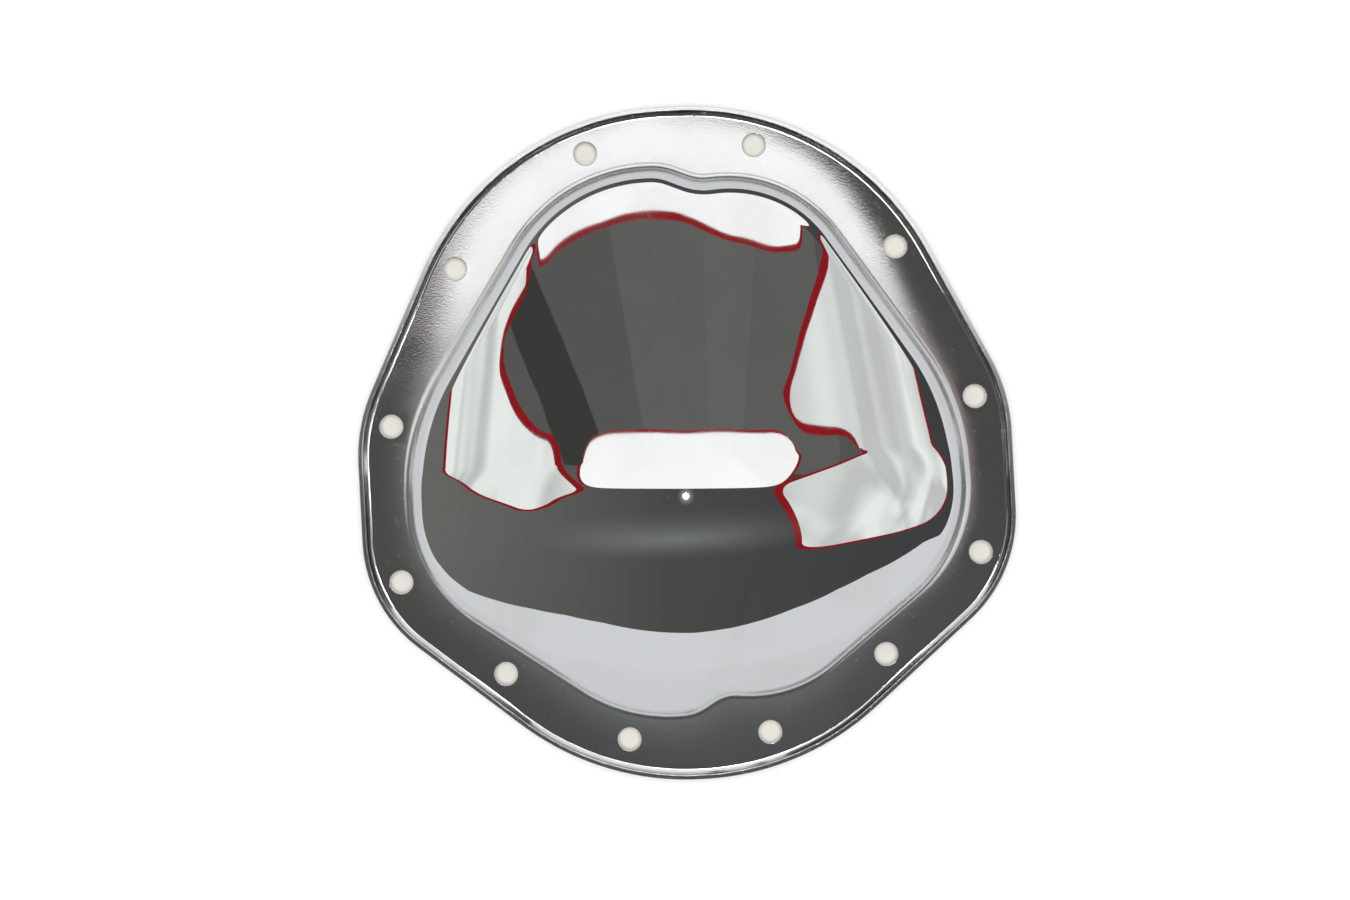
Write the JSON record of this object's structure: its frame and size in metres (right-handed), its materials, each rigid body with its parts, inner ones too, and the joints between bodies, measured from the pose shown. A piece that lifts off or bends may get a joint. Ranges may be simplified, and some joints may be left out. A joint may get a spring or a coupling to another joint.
{
  "type": "differential cover",
  "caption": "Pressed steel cover with a tall crowned dome, a flat bolting flange and an upturned rim; closes the back of an axle housing.",
  "frame": {"origin": "centre of the flange outline's bounding box, on the gasket face", "axes": "+Z out of the gasket face towards the top of the dome, +Y up the vehicle along the bolt pattern's mirror line, +X to the right as seen from outside"},
  "size_m": [0.27, 0.2778, 0.066],
  "materials": {
    "plated_steel": "polished chrome plate, duller on the hidden side"
  },
  "bodies": {
    "root": {"differential_cover": "plated_steel"}
  },
  "joints": []
}
